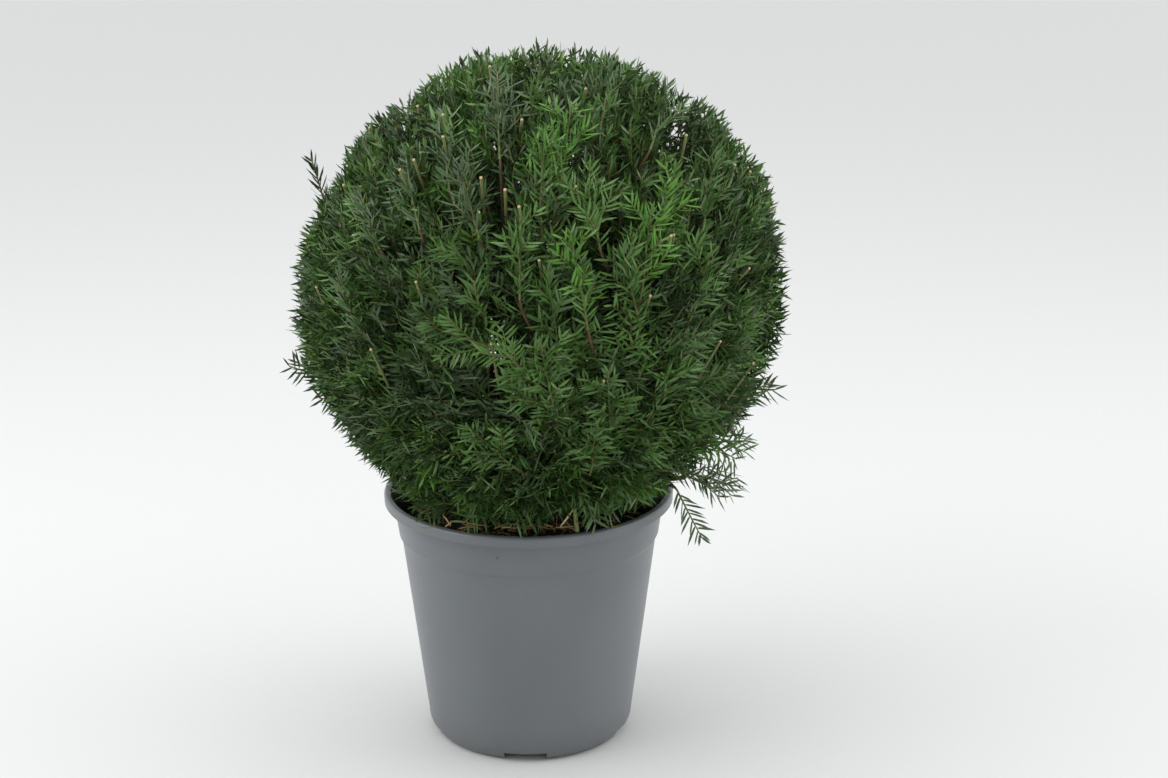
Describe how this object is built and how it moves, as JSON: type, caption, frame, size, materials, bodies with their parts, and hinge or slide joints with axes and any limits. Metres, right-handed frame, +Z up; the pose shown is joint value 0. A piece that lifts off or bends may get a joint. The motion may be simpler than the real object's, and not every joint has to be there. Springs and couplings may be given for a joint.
{
  "type": "groenland hybrid yew in a nursery pot",
  "caption": "Evergreen hybrid yew clipped to a dense ball of dark green needles, with its stem, boughs and soil, standing in a round grey nursery pot.",
  "frame": {"origin": "centre of the pot's flat underside, where it stands on the ground", "axes": "+Z up; -Y is the side seen in the picture, where one drainage notch of the pot points almost straight forward; +X to the viewer's right"},
  "size_m": [0.404, 0.3857, 0.5732],
  "materials": {
    "pot": "satin",
    "soil": "matte",
    "bark": "matte",
    "foliage": "matte"
  },
  "bodies": {
    "root": {"bough_back_left": "bark", "bough_back_right": "bark", "bough_foot_back": "bark", "bough_foot_back_left": "bark", "bough_foot_back_right": "bark", "bough_foot_front": "bark", "bough_foot_front_left": "bark", "bough_foot_front_right": "bark", "bough_front_left": "bark", "bough_front_right": "bark", "bough_left": "bark", "bough_low_left": "bark", "bough_low_right": "bark", "bough_right": "bark", "bough_right_spray": "bark", "leader_back": "bark", "leader_front": "bark", "leader_left": "bark", "leader_right": "bark", "leader_top": "bark", "mass_foot_back": "foliage", "mass_foot_back_left": "foliage", "mass_foot_back_right": "foliage", "mass_foot_front": "foliage", "mass_foot_front_left": "foliage", "mass_foot_front_right": "foliage", "mass_hanging": "foliage", "mass_low_left": "foliage", "mass_low_right": "foliage", "mass_lower_back_left": "foliage", "mass_lower_back_right": "foliage", "mass_lower_front_left": "foliage", "mass_lower_front_right": "foliage", "mass_lower_left": "foliage", "mass_lower_right": "foliage", "mass_right_spray": "foliage", "mass_stray_shoot": "foliage", "mass_top": "foliage", "mass_upper_back_left": "foliage", "mass_upper_back_right": "foliage", "mass_upper_front": "foliage", "mass_upper_left": "foliage", "mass_upper_right": "foliage", "pot": "pot", "soil": "soil", "trunk": "bark"}
  },
  "joints": []
}
